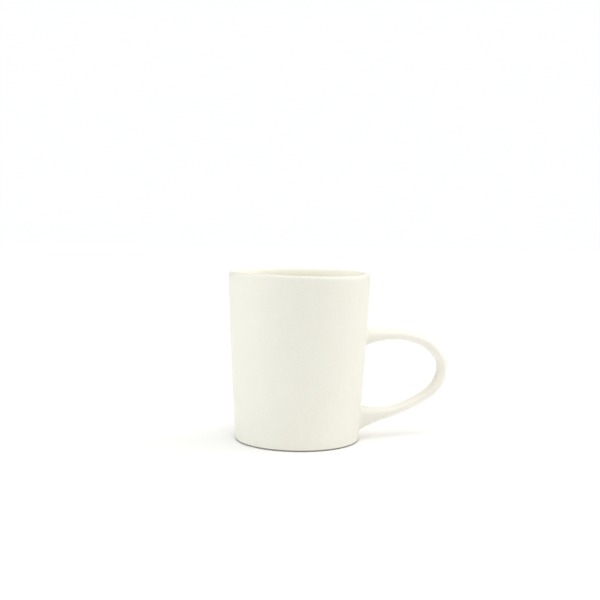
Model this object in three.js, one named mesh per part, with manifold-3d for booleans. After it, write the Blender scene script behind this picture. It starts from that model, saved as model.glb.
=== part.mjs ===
// A straight-handled coffee mug in fired ceramic, in millimetres, +Z up.
//
// It is made as a potter makes one: a turned cup, a handle pulled separately, and two pads of
// slip, the liquid clay that joins the handle's ends to the wall. Heights start at the surface
// the mug stands on. The mug is drawn round the cup's own axis, with its handle along +X, and
// the finished group is then moved so that its box is centred on the origin.

import * as THREE from 'three';
import { mergeVertices } from 'three/addons/utils/BufferGeometryUtils.js';
import Module from 'manifold-3d';

const wasm = await Module();
wasm.setup();

// The cup's outside: a cone that swells a little between foot and lip.
const HEIGHT = 95;
const RIM_RADIUS = 40;
const BASE_RADIUS = 34.9;
const WALL_SWELL = 0.45;

// The cup's wall, lip and floor.
const WALL_THICKNESS = 4.4;
const LIP_ROLL_WIDTH = 1.6; // from the crest of the lip out to the wall's outer face
const LIP_ROLL_OUTSIDE = 3; // how far down the outer face the lip's rounding starts
const LIP_ROLL_INSIDE = 8; // and the inner face
const FLOOR_HEIGHT = 6;
const FLOOR_CORNER_RADIUS = 9;

// The foot: a flat ring round a shallow recess.
const FOOT_EDGE_RADIUS = 0.9;
const FOOT_RING_WIDTH = 4.5;
const FOOT_RECESS_DEPTH = 1.6;
const FOOT_RECESS_SLOPE = 0.8;

// The handle's line from the upper joint to the lower one. x is the distance from the cup's
// axis, thick is measured in the handle's plane and wide across it. The first and last
// stations lie inside the wall, where the cup cuts the handle off.
const HANDLE_STATIONS = [
  { x: 32.5, z: 58.4, thick: 12.4, wide: 17.5 },
  { x: 38.8, z: 59.1, thick: 10.0, wide: 15.0 },
  { x: 46.5, z: 60.0, thick: 7.4, wide: 13.2 },
  { x: 58.5, z: 60.2, thick: 6.6, wide: 12.6 },
  { x: 74.1, z: 55.3, thick: 7.0, wide: 12.6 },
  { x: 82.6, z: 43.7, thick: 6.2, wide: 12.4 },
  { x: 78.8, z: 30.0, thick: 5.7, wide: 12.0 },
  { x: 58.0, z: 17.1, thick: 5.2, wide: 12.0 },
  { x: 43.5, z: 13.6, thick: 8.8, wide: 13.0 },
  { x: 35.6, z: 12.5, thick: 13.8, wide: 17.0 },
  { x: 30.0, z: 11.7, thick: 17.0, wide: 20.0 },
];
const SECTION_ROUNDNESS = 2.1; // exponent of the superellipse: 2 is an ellipse
const SECTION_DOME = 0.1; // how far the section's edges lie towards its inner face, in thicknesses

// The slip pads, and the hairline that keeps neighbouring solids apart.
const SLIP_PAD_LENGTH = 2.2;
const GAP = 0.3;

// How finely the round shapes are divided.
const TURN_STEPS = 72;
const WALL_STEPS = 10;
const LIP_STEPS = 6;
const CORNER_STEPS = 6;
const HANDLE_STEPS = 48;
const SECTION_SIDES = 24;

const glaze = { color: 0xe9e8db, roughness: 0.55, metalness: 0 };
const slip = { color: 0xe4e2d4, roughness: 0.6, metalness: 0 };

function wallRadius(z) {
  const t = z / HEIGHT;
  return BASE_RADIUS + (RIM_RADIUS - BASE_RADIUS) * t + 4 * WALL_SWELL * t * (1 - t);
}

function innerRadius(z) {
  return wallRadius(z) - WALL_THICKNESS;
}

// Points on a wall curve between two heights, both ends included.
function wallPoints(radiusAt, fromZ, toZ) {
  return Array.from({ length: WALL_STEPS + 1 }, (_, i) => {
    const z = THREE.MathUtils.lerp(fromZ, toZ, i / WALL_STEPS);
    return new THREE.Vector2(radiusAt(z), z);
  });
}

// Points on an elliptic arc, without its two ends. across and up are its half axes.
function arcPoints(centreX, centreZ, across, up, fromAngle, toAngle, steps) {
  return Array.from({ length: steps - 1 }, (_, i) => {
    const angle = THREE.MathUtils.lerp(fromAngle, toAngle, (i + 1) / steps);
    return new THREE.Vector2(centreX + across * Math.cos(angle), centreZ + up * Math.sin(angle));
  });
}

// A solid of revolution about +Z, from a profile that runs from the axis out and back to it.
function turned(profile) {
  return new THREE.LatheGeometry(profile, TURN_STEPS).rotateX(Math.PI / 2);
}

function cupGeometry() {
  const footRadius = wallRadius(FOOT_EDGE_RADIUS) - FOOT_EDGE_RADIUS;
  const ringInner = footRadius - FOOT_RING_WIDTH;
  const outerZ = HEIGHT - LIP_ROLL_OUTSIDE;
  const innerZ = HEIGHT - LIP_ROLL_INSIDE;
  const crest = wallRadius(outerZ) - LIP_ROLL_WIDTH;
  const innerRoll = crest - innerRadius(innerZ);
  const quarter = Math.PI / 2;
  const cornerZ = FLOOR_HEIGHT + FLOOR_CORNER_RADIUS;
  const cornerX = innerRadius(cornerZ) - FLOOR_CORNER_RADIUS;
  return turned([
    new THREE.Vector2(0, FOOT_RECESS_DEPTH),
    new THREE.Vector2(ringInner - FOOT_RECESS_SLOPE, FOOT_RECESS_DEPTH),
    new THREE.Vector2(ringInner, 0),
    new THREE.Vector2(footRadius, 0),
    ...arcPoints(footRadius, FOOT_EDGE_RADIUS, FOOT_EDGE_RADIUS, FOOT_EDGE_RADIUS, -quarter, 0, CORNER_STEPS),
    ...wallPoints(wallRadius, FOOT_EDGE_RADIUS, outerZ),
    ...arcPoints(crest, outerZ, LIP_ROLL_WIDTH, LIP_ROLL_OUTSIDE, 0, quarter, LIP_STEPS),
    new THREE.Vector2(crest, HEIGHT),
    ...arcPoints(crest, innerZ, innerRoll, LIP_ROLL_INSIDE, quarter, 2 * quarter, LIP_STEPS),
    ...wallPoints(innerRadius, innerZ, cornerZ),
    ...arcPoints(cornerX, cornerZ, FLOOR_CORNER_RADIUS, FLOOR_CORNER_RADIUS, 0, -quarter, CORNER_STEPS),
    new THREE.Vector2(cornerX, FLOOR_HEIGHT),
    new THREE.Vector2(0, FLOOR_HEIGHT),
  ]);
}

// The room that the cup takes up, its outside grown by a clearance and run past lip and foot.
function cupEnvelope(clearance) {
  const overrun = 10;
  return toSolid(turned([
    new THREE.Vector2(0, -overrun),
    ...wallPoints((z) => wallRadius(z) + clearance, -overrun, HEIGHT + overrun),
    new THREE.Vector2(0, HEIGHT + overrun),
  ]));
}

// A point of the handle's section at an angle, as (across, through), each from -1 to 1: a
// superellipse whose outer face is domed and whose inner face is nearly flat.
function sectionPoint(angle) {
  const rounded = (value) => Math.sign(value) * Math.abs(value) ** (2 / SECTION_ROUNDNESS);
  const across = rounded(Math.sin(angle));
  return new THREE.Vector2(across, rounded(Math.cos(angle)) - 2 * SECTION_DOME * across ** 2);
}

// A cylinder bent along the handle's line. Each of its rings becomes one section of the
// handle, square to the line, and its two end faces stay flat.
function sweptHandle() {
  const line = new THREE.CatmullRomCurve3(
    HANDLE_STATIONS.map(({ x, z }) => new THREE.Vector3(x, 0, z)), false, 'centripetal');
  const sizes = new THREE.CatmullRomCurve3(
    HANDLE_STATIONS.map(({ thick, wide }) => new THREE.Vector3(thick, wide, 0)), false, 'catmullrom');
  const handle = new THREE.CylinderGeometry(1, 1, 1, SECTION_SIDES, HANDLE_STEPS);
  const across = new THREE.Vector3(0, 1, 0);
  const vertices = handle.attributes.position;
  const vertex = new THREE.Vector3();
  for (let i = 0; i < vertices.count; i++) {
    vertex.fromBufferAttribute(vertices, i);
    const along = vertex.y + 0.5;
    const size = sizes.getPoint(along);
    const reach = Math.hypot(vertex.x, vertex.z);
    const section = sectionPoint(Math.atan2(vertex.x, vertex.z)).multiplyScalar(reach / 2);
    const through = across.clone().cross(line.getTangent(along));
    vertex.copy(line.getPoint(along));
    vertex.addScaledVector(across, section.x * size.y);
    vertex.addScaledVector(through, section.y * size.x);
    vertices.setXYZ(i, vertex.x, vertex.y, vertex.z);
  }
  return handle;
}

// A three.js geometry as a manifold solid: shared corners merged, slivers at the axis dropped.
function toSolid(geometry) {
  geometry.deleteAttribute('normal');
  geometry.deleteAttribute('uv');
  const merged = mergeVertices(geometry, 1e-4);
  const corners = merged.index.array;
  const kept = [];
  for (let i = 0; i < corners.length; i += 3) {
    const [a, b, c] = corners.slice(i, i + 3);
    if (a !== b && b !== c && c !== a) kept.push(a, b, c);
  }
  return new wasm.Manifold(new wasm.Mesh({
    numProp: 3,
    vertProperties: merged.attributes.position.array,
    triVerts: Uint32Array.from(kept),
  }));
}

function toGeometry(solid) {
  const { vertProperties, triVerts } = solid.getMesh();
  const geometry = new THREE.BufferGeometry();
  geometry.setAttribute('position', new THREE.BufferAttribute(vertProperties, 3));
  geometry.setIndex(new THREE.BufferAttribute(triVerts, 1));
  geometry.computeVertexNormals();
  return geometry;
}

// A block that holds everything on the handle's side between two heights.
function handleSideBlock(fromZ, toZ) {
  const size = 2 * RIM_RADIUS;
  const block = new THREE.BoxGeometry(size, size, toZ - fromZ);
  return toSolid(block.translate(size / 2, 0, (fromZ + toZ) / 2));
}

function named(name, geometry, finish) {
  const mesh = new THREE.Mesh(geometry, new THREE.MeshStandardMaterial(finish));
  mesh.name = name;
  return mesh;
}

function makeMug() {
  const whole = toSolid(sweptHandle());
  const padRegion = cupEnvelope(GAP + SLIP_PAD_LENGTH).subtract(cupEnvelope(GAP));
  const pads = whole.intersect(padRegion);
  const grip = whole.subtract(cupEnvelope(GAP + SLIP_PAD_LENGTH + GAP));
  const middle = (HANDLE_STATIONS.at(1).z + HANDLE_STATIONS.at(-2).z) / 2;

  const mug = new THREE.Group();
  mug.add(
    named('cup_body', cupGeometry(), glaze),
    named('handle', toGeometry(grip), glaze),
    named('upper_slip_joint', toGeometry(pads.intersect(handleSideBlock(middle, HEIGHT))), slip),
    named('lower_slip_joint', toGeometry(pads.intersect(handleSideBlock(0, middle))), slip),
  );
  const centre = new THREE.Box3().setFromObject(mug).getCenter(new THREE.Vector3());
  mug.position.set(-centre.x, -centre.y, 0);
  return mug;
}

export default makeMug();
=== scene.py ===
"""The looks of a ceramic mug: a satin ivory glaze over a turned cup and a pulled handle.

Everything is in metres, in the CAD model's own frame, +Z up, with the handle along +X. Three
kinds of piece are made here, and each stands for the CAD node that holds its place: the cup,
the handle, and a smoothed bead of slip round each of the handle's two joints.
"""

import math

import bpy
import numpy as np
from mathutils import Matrix, Vector


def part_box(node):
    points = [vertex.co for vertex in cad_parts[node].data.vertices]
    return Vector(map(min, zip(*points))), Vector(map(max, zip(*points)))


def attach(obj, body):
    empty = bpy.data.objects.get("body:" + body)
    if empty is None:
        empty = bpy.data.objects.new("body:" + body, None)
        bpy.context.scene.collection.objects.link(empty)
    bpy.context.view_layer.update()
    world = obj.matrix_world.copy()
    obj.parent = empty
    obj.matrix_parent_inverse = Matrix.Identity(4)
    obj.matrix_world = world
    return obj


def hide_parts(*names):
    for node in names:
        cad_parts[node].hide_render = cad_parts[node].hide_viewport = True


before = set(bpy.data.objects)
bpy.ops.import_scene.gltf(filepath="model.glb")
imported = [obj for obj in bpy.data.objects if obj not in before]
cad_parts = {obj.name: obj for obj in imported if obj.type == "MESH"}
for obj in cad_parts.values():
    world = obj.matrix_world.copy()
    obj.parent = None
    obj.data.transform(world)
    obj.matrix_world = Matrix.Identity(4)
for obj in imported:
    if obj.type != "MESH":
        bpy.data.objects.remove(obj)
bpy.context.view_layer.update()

MM = 0.001

# The cup's place and main sizes, from its CAD node.
CUP_LOW, CUP_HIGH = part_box("cup_body")
AXIS_X = (CUP_LOW.x + CUP_HIGH.x) / 2
HEIGHT = CUP_HIGH.z
RIM_RADIUS = 40.0 * MM
BASE_RADIUS = 34.9 * MM
WALL_SWELL = 0.45 * MM

# The cup's wall, lip, floor and foot, as the CAD model has them.
WALL_THICKNESS = 4.4 * MM
LIP_ROLL_WIDTH = 1.6 * MM
LIP_ROLL_OUTSIDE = 3.0 * MM
LIP_ROLL_INSIDE = 8.0 * MM
FLOOR_HEIGHT = 6.0 * MM
FLOOR_CORNER_RADIUS = 9.0 * MM
FOOT_EDGE_RADIUS = 0.9 * MM
FOOT_RING_WIDTH = 4.5 * MM
FOOT_RECESS_DEPTH = 1.6 * MM
FOOT_RECESS_FILLET = 1.0 * MM
FOOT_INNER_EDGE = 0.3 * MM  # the worn edge between recess and ring
FOOT_FLAT_START = 1.0 * MM  # how far out from the recess the ring's flat is divided evenly

# The handle's line: distance from the cup's axis, height, thickness in the handle's plane and
# width across it, in millimetres, from inside the wall at the top to inside it at the bottom.
HANDLE_STATIONS = (
    (32.5, 58.4, 12.4, 17.5),
    (38.8, 59.1, 10.0, 15.0),
    (46.5, 60.0, 7.4, 13.2),
    (58.5, 60.2, 6.6, 12.6),
    (74.1, 55.3, 7.0, 12.6),
    (82.6, 43.7, 6.2, 12.4),
    (78.8, 30.0, 5.7, 12.0),
    (58.0, 17.1, 5.2, 12.0),
    (43.5, 13.6, 8.8, 13.0),
    (35.6, 12.5, 13.8, 17.0),
    (30.0, 11.7, 17.0, 20.0),
)
SECTION_ROUNDNESS = 2.1  # exponent of the superellipse: 2 is an ellipse
SECTION_DOME = 0.1  # how far the edges of the section lie towards its inner face, in thicknesses

# The bead of slip in the corner between handle and wall: how far it reaches along both, how far
# its edges and its keel are sunk into them, and the point of the handle's core they are sunk
# towards, measured out from the wall.
BEAD_REACH = 1.5 * MM
BEAD_SINK = 0.06 * MM
BEAD_KEEL_DEPTH = 0.6 * MM
BEAD_CORE_LIFT = 6 * MM

# How far the handle's ends are sunk into the wall.
HANDLE_SINK = 1.2 * MM

# How far a hand-finished cup strays from a true turned shape, and where its waves start, in
# radians.
LIP_TILT = -0.1 * MM
LIP_TWIST = 0.2 * MM
LIP_WAVE = 0.06 * MM
LIP_WAVE_START = 1.0
OUT_OF_ROUND = 0.12 * MM
OUT_OF_ROUND_START = 0.6

# Mesh density: round the cup, along its outline from the recess to its floor, and over the
# handle and the beads.
TURN_STEPS = 256
RECESS_POINTS = 9
RECESS_FILLET_STEPS = 8
FOOT_RING_POINTS = 5
FOOT_EDGE_STEPS = 10
OUTER_WALL_STEPS = 56
OUTER_LIP_STEPS = 16
INNER_LIP_STEPS = 12
INNER_WALL_STEPS = 48
FLOOR_CORNER_STEPS = 16
FLOOR_POINTS = 9
HANDLE_STEPS = 220
SECTION_SIDES = 72
BEAD_STEPS = 14

# The camera, measured from the cup's axis, with its angles in degrees. The handle swings a
# little away from it.
HANDLE_SWING = 4.0
CAMERA_DISTANCE = 577 * MM
CAMERA_HEIGHT = 130 * MM
CAMERA_PITCH = 5.05
CAMERA_YAW = 0.05
CAMERA_ROLL = 1.0
LENS = 61.6
SENSOR = 36.0


# ---------------------------------------------------------------- shapes


def wall_radius(z):
    t = z / HEIGHT
    return BASE_RADIUS + (RIM_RADIUS - BASE_RADIUS) * t + 4 * WALL_SWELL * t * (1 - t)


def inner_radius(z):
    return wall_radius(z) - WALL_THICKNESS


def wall_points(radius_at, from_z, to_z, steps):
    """Points on a wall curve between two heights, both ends included."""
    return [(radius_at(z), z) for z in np.linspace(from_z, to_z, steps + 1)]


def arc_points(centre_x, centre_z, across, up, start, end, steps):
    """Points on an elliptic arc between two angles in degrees, without its two ends. across and
    up are its half axes."""
    angles = np.radians(np.linspace(start, end, steps + 1)[1:-1])
    return [(centre_x + across * math.cos(a), centre_z + up * math.sin(a)) for a in angles]


def mesh_object(name, vertices, faces, material_of_face=None):
    mesh = bpy.data.meshes.new(name)
    mesh.from_pydata([tuple(v) for v in vertices], [], faces)
    mesh.polygons.foreach_set("use_smooth", [True] * len(faces))
    if material_of_face is not None:
        mesh.polygons.foreach_set("material_index", material_of_face)
    mesh.validate()
    mesh.update()
    piece = bpy.data.objects.new(name, mesh)
    bpy.context.collection.objects.link(piece)
    return piece


# The inside's finish is a copy of the glaze painted lighter and warmer: painted light on the inner wall,
# lip top and floor.
GLAZE_OUT, GLAZE_IN_PAINTED_LIT, BARE_CLAY_PAINTED_SHADE = range(3)


def cup_profile():
    """The cup's outline from the axis under the foot round to the axis on its floor, as (radius, z),
    with the finish of the stretch that follows each point."""
    foot = wall_radius(FOOT_EDGE_RADIUS) - FOOT_EDGE_RADIUS
    ring_inner = foot - FOOT_RING_WIDTH
    recess = ring_inner - FOOT_RECESS_FILLET
    outer_z = HEIGHT - LIP_ROLL_OUTSIDE
    inner_z = HEIGHT - LIP_ROLL_INSIDE
    crest = wall_radius(outer_z) - LIP_ROLL_WIDTH
    inner_roll = crest - inner_radius(inner_z)
    corner_z = FLOOR_HEIGHT + FLOOR_CORNER_RADIUS
    corner_x = inner_radius(corner_z) - FLOOR_CORNER_RADIUS
    stretches = (
        (GLAZE_OUT, [(r, FOOT_RECESS_DEPTH) for r in np.linspace(0, recess, RECESS_POINTS)]),
        (GLAZE_OUT, arc_points(recess, FOOT_RECESS_DEPTH - FOOT_RECESS_FILLET, FOOT_RECESS_FILLET,
                               FOOT_RECESS_FILLET, 90, 0, RECESS_FILLET_STEPS)),
        # The foot ring and its rounded edge take the bare clay, painted dark: painted shade for the
        # contact line under the foot.
        (BARE_CLAY_PAINTED_SHADE, [(ring_inner, FOOT_INNER_EDGE),
                     (ring_inner + FOOT_INNER_EDGE / 3, FOOT_INNER_EDGE / 3),
                     (ring_inner + FOOT_INNER_EDGE, 0)]),
        (BARE_CLAY_PAINTED_SHADE, [(r, 0) for r in np.linspace(ring_inner + FOOT_FLAT_START, foot, FOOT_RING_POINTS)]),
        (BARE_CLAY_PAINTED_SHADE, arc_points(foot, FOOT_EDGE_RADIUS, FOOT_EDGE_RADIUS, FOOT_EDGE_RADIUS,
                               -90, 0, FOOT_EDGE_STEPS)),
        (GLAZE_OUT, wall_points(wall_radius, FOOT_EDGE_RADIUS, outer_z, OUTER_WALL_STEPS)),
        (GLAZE_OUT, arc_points(crest, outer_z, LIP_ROLL_WIDTH, LIP_ROLL_OUTSIDE,
                               0, 90, OUTER_LIP_STEPS)),
        (GLAZE_IN_PAINTED_LIT, [(crest, HEIGHT)]),
        (GLAZE_IN_PAINTED_LIT, arc_points(crest, inner_z, inner_roll, LIP_ROLL_INSIDE, 90, 180, INNER_LIP_STEPS)),
        (GLAZE_IN_PAINTED_LIT, wall_points(inner_radius, inner_z, corner_z, INNER_WALL_STEPS)),
        (GLAZE_IN_PAINTED_LIT, arc_points(corner_x, corner_z, FLOOR_CORNER_RADIUS, FLOOR_CORNER_RADIUS,
                              0, -90, FLOOR_CORNER_STEPS)),
        (GLAZE_IN_PAINTED_LIT, [(r, FLOOR_HEIGHT) for r in np.linspace(corner_x, 0, FLOOR_POINTS)]),
    )
    points = [point for _, stretch in stretches for point in stretch]
    finishes = [finish for finish, stretch in stretches for _ in stretch]
    return points, finishes


def make_cup():
    points, finishes = cup_profile()
    rings = points[1:-1]
    turns = np.linspace(0, 2 * math.pi, TURN_STEPS, endpoint=False)
    vertices = [(AXIS_X, 0, points[0][1])]
    for radius, z in rings:
        vertices += [hand_made(radius, z, turn) for turn in turns]
    vertices.append((AXIS_X, 0, points[-1][1]))
    faces, materials = [], []
    last = len(vertices) - 1
    for i in range(TURN_STEPS):
        j = (i + 1) % TURN_STEPS
        faces.append((0, 1 + j, 1 + i))
        materials.append(finishes[0])
        for ring in range(len(rings) - 1):
            a, b = 1 + ring * TURN_STEPS, 1 + (ring + 1) * TURN_STEPS
            faces.append((a + i, a + j, b + j, b + i))
            materials.append(finishes[ring + 1])
        end = 1 + (len(rings) - 1) * TURN_STEPS
        faces.append((end + i, end + j, last))
        materials.append(finishes[-1])
    return mesh_object("glazed_cup", vertices, faces, materials)


def hand_made(radius, z, turn):
    """A point of the cup, with the slight lean of its lip and its slightly oval wall."""
    t = z / HEIGHT
    oval = math.cos(2 * turn + OUT_OF_ROUND_START)
    radius += OUT_OF_ROUND * t * oval * min(1, radius / BASE_RADIUS)
    wave = math.sin(3 * turn + LIP_WAVE_START)
    lift = LIP_TILT * math.cos(turn) + LIP_TWIST * math.sin(2 * turn) + LIP_WAVE * wave
    z += lift * t ** 4 * radius / RIM_RADIUS
    return (AXIS_X + radius * math.cos(turn), radius * math.sin(turn), z)


def catmull_rom(stations, along, centripetal):
    """Points on a Catmull-Rom curve through the stations. along runs from 0 to 1."""
    stations = np.asarray(stations, float)
    padded = np.vstack([2 * stations[0] - stations[1], stations, 2 * stations[-1] - stations[-2]])
    spans = len(stations) - 1
    found = []
    for value in np.clip(along, 0, 1) * spans:
        span = min(int(value), spans - 1)
        u = value - span
        p0, p1, p2, p3 = padded[span:span + 4]
        if centripetal:
            d0, d1, d2 = (math.sqrt(np.linalg.norm(b - a)) for a, b in ((p0, p1), (p1, p2), (p2, p3)))
        else:
            d0 = d1 = d2 = 1.0
        m1 = ((p1 - p0) / d0 - (p2 - p0) / (d0 + d1) + (p2 - p1) / d1) * d1
        m2 = ((p2 - p1) / d1 - (p3 - p1) / (d1 + d2) + (p3 - p2) / d2) * d1
        h1, h2 = 2 * u**3 - 3 * u**2 + 1, -2 * u**3 + 3 * u**2
        h3, h4 = u**3 - 2 * u**2 + u, u**3 - u**2
        found.append(h1 * p1 + h2 * p2 + h3 * m1 + h4 * m2)
    return np.array(found)


def handle_rings():
    """The handle's surface as an array of rings of points, square to its line."""
    stations = np.array(HANDLE_STATIONS) * MM
    along = np.linspace(0, 1, HANDLE_STEPS + 1)
    line = catmull_rom(stations[:, :2], along, True)
    sizes = catmull_rom(stations[:, 2:], along, False)
    tangent = np.gradient(line, axis=0)
    tangent /= np.linalg.norm(tangent, axis=1)[:, None]
    outward = np.stack([-tangent[:, 1], tangent[:, 0]], axis=1)
    turns = np.linspace(0, 2 * math.pi, SECTION_SIDES, endpoint=False)
    power = 2 / SECTION_ROUNDNESS
    through = np.sign(np.cos(turns)) * np.abs(np.cos(turns)) ** power / 2
    across = np.sign(np.sin(turns)) * np.abs(np.sin(turns)) ** power / 2
    through -= SECTION_DOME * (2 * across) ** 2
    rings = np.empty((len(along), len(turns), 3))
    rings[..., 0] = AXIS_X + line[:, None, 0] + outward[:, None, 0] * through * sizes[:, None, 0]
    rings[..., 1] = across * sizes[:, None, 1]
    rings[..., 2] = line[:, None, 1] + outward[:, None, 1] * through * sizes[:, None, 0]
    return rings


def tube_faces(rings, sides, capped):
    """Faces of a closed tube. Without caps the last ring joins the first."""
    faces = []
    count = rings - 1 if capped else rings
    for ring in range(count):
        a, b = ring * sides, (ring + 1) % rings * sides
        for i in range(sides):
            j = (i + 1) % sides
            faces.append((a + i, a + j, b + j, b + i))
    if capped:
        faces.append(tuple(reversed(range(sides))))
        faces.append(tuple(range((rings - 1) * sides, rings * sides)))
    return faces


def outside_wall(point):
    """How far a point is outside the cup's wall."""
    return math.hypot(point[0] - AXIS_X, point[1]) - wall_radius(point[2])


def make_handle(rings):
    """The handle from wall to wall, its ends sunk a little way into the wall."""
    clear = [i for i, ring in enumerate(rings) if max(map(outside_wall, ring)) > -HANDLE_SINK]
    kept = rings[clear[0]:clear[-1] + 1]
    vertices = kept.reshape(-1, 3)
    return mesh_object("pulled_handle", vertices, tube_faces(len(kept), SECTION_SIDES, True))


def wall_crossing(path):
    """Where a line of points from inside the wall comes out of it, as a place along the line."""
    outside = [outside_wall(p) for p in path]
    for i in range(len(path) - 1):
        if outside[i] <= 0 < outside[i + 1]:
            return i - outside[i] / (outside[i + 1] - outside[i])
    raise ValueError("the handle's end doesn't reach the wall")


def along_path(path, start, distance):
    """The point a distance further along a line of points than a place on it."""
    index = int(start)
    here = path[index] + (path[index + 1] - path[index]) * (start - index)
    while True:
        step = path[index + 1] - here
        length = np.linalg.norm(step)
        if length >= distance:
            return here + step * distance / length
        distance -= length
        here = path[index + 1]
        index += 1


def wall_point(turn, z, lift):
    radius = wall_radius(z) + lift
    return np.array([AXIS_X + radius * math.cos(turn), radius * math.sin(turn), z])


def make_bead(name, rings):
    """The bead in the corner between the handle and the wall: a curve that leaves the handle along
    its surface and meets the wall along the wall's, closed by a keel buried under the corner."""
    corners = []
    for side in range(SECTION_SIDES):
        path = rings[:, side]
        start = wall_crossing(path)
        corners.append((path, start, along_path(path, start, 0)))
    middle = np.mean([corner for _, _, corner in corners], axis=0)
    centre_turn, centre_z = math.atan2(middle[1], middle[0] - AXIS_X), middle[2]
    sections = []
    for path, start, corner in corners:
        turn = math.atan2(corner[1], corner[0] - AXIS_X)
        away = np.array([(turn - centre_turn) * wall_radius(corner[2]), corner[2] - centre_z])
        away *= BEAD_REACH / np.linalg.norm(away)
        on_wall = wall_point(turn + away[0] / wall_radius(corner[2]), corner[2] + away[1], 0)
        on_handle = along_path(path, start, BEAD_REACH)
        inward = wall_point(centre_turn, centre_z, BEAD_CORE_LIFT) - on_handle
        inward /= np.linalg.norm(inward)
        places = np.linspace(0, 1, BEAD_STEPS + 1)
        section = [(1 - u) ** 2 * on_handle + 2 * u * (1 - u) * corner + u * u * on_wall for u in places]
        wall_in = np.array([-math.cos(turn), -math.sin(turn), 0])
        section[0] = section[0] + inward * BEAD_SINK
        section[-1] = section[-1] + wall_in * BEAD_SINK
        section.append(corner + (wall_in + inward) * BEAD_KEEL_DEPTH)
        sections.append(section)
    vertices = np.array(sections).reshape(-1, 3)
    return mesh_object(name, vertices, tube_faces(SECTION_SIDES, BEAD_STEPS + 2, False))


# ---------------------------------------------------------------- materials


def add_node(tree, kind, inputs, settings):
    """A new node in a tree, with each input set to a value or joined to another node's output."""
    node = tree.nodes.new(kind)
    for key, value in settings.items():
        setattr(node, key, value)
    for key, value in dict(inputs).items():
        if isinstance(value, bpy.types.NodeSocket):
            tree.links.new(value, node.inputs[key])
        else:
            node.inputs[key].default_value = value
    return node


class Nodes:
    """A few short ways to add and join shader nodes."""

    def __init__(self, name):
        self.material = bpy.data.materials.new(name)
        self.material.use_nodes = True
        self.tree = self.material.node_tree
        self.surface = self.tree.nodes["Principled BSDF"]
        self.place = self.tree.nodes.new("ShaderNodeTexCoord").outputs["Object"]

    def add(self, kind, inputs=(), **settings):
        return add_node(self.tree, kind, inputs, settings)

    def noise(self, size, detail=2.0, roughness=0.5):
        """Noise whose features are about size metres across."""
        inputs = {"Vector": self.place, "Scale": 1 / size, "Detail": detail, "Roughness": roughness}
        return self.add("ShaderNodeTexNoise", inputs).outputs["Fac"]

    def spread(self, value, low, high, to_low, to_high):
        """A value between low and high, spread over to_low to to_high and held there."""
        inputs = {"Value": value, "From Min": low, "From Max": high, "To Min": to_low, "To Max": to_high}
        return self.add("ShaderNodeMapRange", inputs).outputs["Result"]

    def blend(self, factor, first, second):
        node = self.add("ShaderNodeMix", {"Factor": factor}, data_type="RGBA")
        for socket, value in ((node.inputs[6], first), (node.inputs[7], second)):
            if isinstance(value, bpy.types.NodeSocket):
                self.tree.links.new(value, socket)
            else:
                socket.default_value = (*value, 1)
        return node.outputs[2]

    def bump(self, height, distance, onto=None):
        inputs = {"Height": height, "Distance": distance, "Strength": 1.0}
        if onto is not None:
            inputs["Normal"] = onto
        return self.add("ShaderNodeBump", inputs).outputs["Normal"]

    def join(self, output, socket):
        self.tree.links.new(output, self.surface.inputs[socket])


IVORY = (0.885, 0.880, 0.788)
IVORY_THICK = (0.877, 0.870, 0.774)
# The handle's pair is the same glaze painted lighter and warmer: painted light on the handle away from
# the cup.
HANDLE_IVORY_PAINTED_LIT = (0.935, 0.912, 0.838)
HANDLE_IVORY_THICK_PAINTED_LIT = (0.925, 0.900, 0.820)
# The inside's pair is the outside's glaze painted lighter and warmer: painted light for the bright inner
# wall under the lip.
IVORY_INSIDE_PAINTED_LIT = (0.980, 0.955, 0.850)
IVORY_THICK_INSIDE_PAINTED_LIT = (0.970, 0.945, 0.832)
# The foot's bare clay is painted dark: painted shade for the contact line under the foot's edge, with
# real wear darker still.
CLAY_PAINTED_SHADE = (0.36, 0.34, 0.30)
CLAY_WORN_PAINTED_SHADE = (0.29, 0.27, 0.23)
STUDIO_PAINT = (0.955, 0.955, 0.945)
STUDIO_PAINT_PALE = (0.965, 0.965, 0.955)

# The glaze's clouds, its grain of speckles and the orange peel of its skin: how wide they are,
# how deep, and how much darker a speckle is.
CLOUD_SIZE = 9 * MM
GRAIN_SIZE = 1.1 * MM
GRAIN_DEPTH = 0.012 * MM
SKIN_SIZE = 2.6 * MM
SKIN_DEPTH = 0.035 * MM
SPECKLE_SHADE = 0.945

# Where the handle's glaze turns lighter and warmer, as painted light, measured from the cup's axis.
PAINTED_LIGHT_START = 38 * MM
PAINTED_LIGHT_END = 54 * MM


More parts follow.
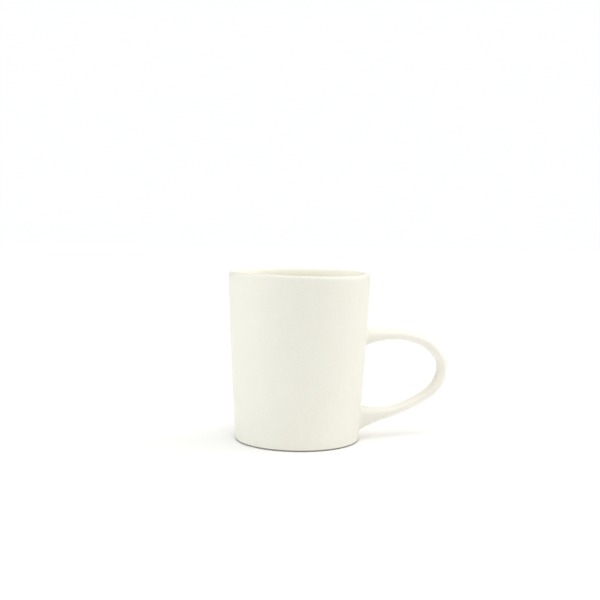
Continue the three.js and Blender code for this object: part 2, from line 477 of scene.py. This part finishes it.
def satin_glaze(name, thin, thick, painted_lit_pair=None):
    """A satin glaze: faint clouds where it pooled, fine speckles, and a soft orange-peel skin. The
    lighter, warmer pair of colours, thin and thick, is painted light and takes over on the way out from
    the cup."""
    n = Nodes(name)
    clouds = n.noise(CLOUD_SIZE, detail=3, roughness=0.55)
    grain = n.noise(GRAIN_SIZE, detail=2, roughness=0.6)
    pooled = n.spread(clouds, 0.35, 0.65, 0, 1)
    cloudy = n.blend(pooled, thin, thick)
    if painted_lit_pair is not None:
        out = n.add("ShaderNodeSeparateXYZ", {"Vector": n.place}).outputs["X"]
        painted_lit_mask = n.spread(out, AXIS_X + PAINTED_LIGHT_START, AXIS_X + PAINTED_LIGHT_END, 0, 1)
        cloudy = n.blend(painted_lit_mask, cloudy, n.blend(pooled, *painted_lit_pair))
    speckled = tuple(SPECKLE_SHADE * c for c in thick)
    n.join(n.blend(n.spread(grain, 0.54, 0.72, 0, 0.6), cloudy, speckled), "Base Color")
    n.join(n.spread(clouds, 0.3, 0.7, 0.46, 0.56), "Roughness")
    skin = n.bump(n.noise(SKIN_SIZE, detail=1), SKIN_DEPTH)
    n.join(n.bump(grain, GRAIN_DEPTH, onto=skin), "Normal")
    n.surface.inputs["Specular IOR Level"].default_value = 0.5
    n.surface.inputs["Coat Weight"].default_value = 0.35
    n.surface.inputs["Coat Roughness"].default_value = 0.38
    return n.material


def bare_clay_painted_shade(name):
    """Fired clay without glaze: matt, gritty and a little darker where it has rubbed on tables. All of
    it is painted dark as well: painted shade for the contact line under the foot's edge.
    """
    n = Nodes(name)
    grit = n.noise(0.45 * MM, detail=4, roughness=0.7)
    wear = n.noise(4 * MM, detail=3, roughness=0.6)
    n.join(n.blend(n.spread(wear, 0.4, 0.7, 0, 0.8), CLAY_PAINTED_SHADE, CLAY_WORN_PAINTED_SHADE), "Base Color")
    n.join(n.spread(grit, 0.3, 0.7, 0.80, 0.95), "Roughness")
    n.join(n.bump(grit, 0.05 * MM), "Normal")
    return n.material


def floor_paint(name):
    n = Nodes(name)
    clouds = n.noise(60 * MM, detail=2)
    n.join(n.blend(clouds, STUDIO_PAINT, STUDIO_PAINT_PALE), "Base Color")
    n.surface.inputs["Roughness"].default_value = 0.9
    n.surface.inputs["Specular IOR Level"].default_value = 0.1
    return n.material


# ---------------------------------------------------------------- studio


STUDIO_REACH = 3.0  # half the side of the studio's floor


def make_floor():
    far = STUDIO_REACH
    corners = [(-far, -far, 0), (far, -far, 0), (far, far, 0), (-far, far, 0)]
    floor = mesh_object("studio_floor", corners, [(0, 1, 2, 3)])
    floor.data.materials.append(floor_paint("studio_floor_paint"))


# The lights of the tent: degrees round from the front to the right, degrees up, how tightly each
# one is gathered, how bright it is at its middle, and its colour. The left side is a little cool
# and the right side a little warm.
WHITE = (1.0, 1.0, 1.0)
COOL = (0.985, 1.0, 1.005)
WARM = (1.03, 1.0, 0.985)
BACKDROP = (0.99, 1.0, 0.995)
TENT_LIGHTS = (
    (0, 60, 10, 3.4, WHITE),
    (180, 60, 10, 1.0, WHITE),
    (180, 10, 8, 1.0, WHITE),
    (-90, 10, 8, 2.0, COOL),
    (-90, 40, 8, 0.5, COOL),
    (90, 10, 8, 0.5, WARM),
    (105, 40, 8, 2.5, WARM),
)


def make_light_tent():
    """The tent's soft lights, bright overhead and at the sides and dim low in front. The camera
    itself sees an even white backdrop in their place."""
    world = bpy.data.worlds.new("light_tent")
    bpy.context.scene.world = world
    world.use_nodes = True
    tree = world.node_tree
    tree.nodes.clear()

    def add(kind, inputs=(), **settings):
        return add_node(tree, kind, inputs, settings)

    def maths(operation, *values):
        return add("ShaderNodeMath", dict(enumerate(values)), operation=operation).outputs[0]

    toward = add("ShaderNodeTexCoord").outputs["Generated"]
    total = None
    for around, up, tightness, brightness, colour in TENT_LIGHTS:
        turn, rise = math.radians(around - HANDLE_SWING), math.radians(up)
        middle = (math.sin(turn) * math.cos(rise), -math.cos(turn) * math.cos(rise), math.sin(rise))
        facing = add("ShaderNodeVectorMath", {0: toward, 1: middle}, operation="DOT_PRODUCT")
        spread = maths("POWER", maths("MAXIMUM", facing.outputs["Value"], 0.0), tightness)
        strength = maths("MULTIPLY", spread, brightness)
        light = add("ShaderNodeBackground", {"Color": (*colour, 1), "Strength": strength}).outputs[0]
        total = light if total is None else add("ShaderNodeAddShader", {0: total, 1: light}).outputs[0]
    backdrop = add("ShaderNodeBackground", {"Color": (*BACKDROP, 1), "Strength": 1.0})
    seen = add("ShaderNodeLightPath").outputs["Is Camera Ray"]
    mixed = add("ShaderNodeMixShader", {0: seen, 1: total, 2: backdrop.outputs[0]})
    tree.links.new(mixed.outputs[0], add("ShaderNodeOutputWorld").inputs["Surface"])


def make_camera():
    data = bpy.data.cameras.new("camera")
    data.lens = LENS
    data.sensor_width = SENSOR
    camera = bpy.data.objects.new("camera", data)
    bpy.context.collection.objects.link(camera)
    swing = Matrix.Rotation(math.radians(-HANDLE_SWING), 4, "Z")
    eye = Vector((AXIS_X, 0, CAMERA_HEIGHT)) + swing @ Vector((0, -CAMERA_DISTANCE, 0))
    camera.matrix_world = (
        Matrix.Translation(eye)
        @ Matrix.Rotation(math.radians(-HANDLE_SWING - CAMERA_YAW), 4, "Z")
        @ Matrix.Rotation(math.radians(90 - CAMERA_PITCH), 4, "X")
        @ Matrix.Rotation(math.radians(CAMERA_ROLL), 4, "Z")
    )
    bpy.context.scene.camera = camera


def set_colours():
    """Colours go out as they are, without a film curve."""
    bpy.context.scene.view_settings.view_transform = "Standard"


# ---------------------------------------------------------------- the mug


def dress(piece, node, slot, *materials):
    """Gives a piece its finish, and lets it stand for its CAD node."""
    for material in materials:
        piece.data.materials.append(material)
    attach(piece, "root")
    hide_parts(node)


def make_mug():
    outside = satin_glaze("ivory_glaze", IVORY, IVORY_THICK)
    # The inside's glaze is painted lighter and warmer than the outside's: painted light.
    inside = satin_glaze("ivory_glaze_inside_painted_lit", IVORY_INSIDE_PAINTED_LIT, IVORY_THICK_INSIDE_PAINTED_LIT)
    # Out along the handle the glaze is painted lighter and warmer: painted light.
    painted_lit_pair = (HANDLE_IVORY_PAINTED_LIT, HANDLE_IVORY_THICK_PAINTED_LIT)
    pulled = satin_glaze("ivory_glaze_handle_painted_lit", IVORY, IVORY_THICK, painted_lit_pair)
    # The foot's clay is painted dark: painted shade under the foot's edge.
    clay = bare_clay_painted_shade("bare_clay_painted_shade")
    dress(make_cup(), "cup_body", "satin_glaze", outside, inside, clay)
    rings = handle_rings()
    dress(make_handle(rings), "handle", "satin_glaze", pulled)
    middle = len(rings) // 2
    dress(make_bead("upper_slip_bead", rings[:middle]), "upper_slip_joint", "glazed_slip", pulled)
    dress(make_bead("lower_slip_bead", rings[:middle:-1]), "lower_slip_joint", "glazed_slip", pulled)


make_camera()
set_colours()
make_light_tent()
make_floor()
make_mug()
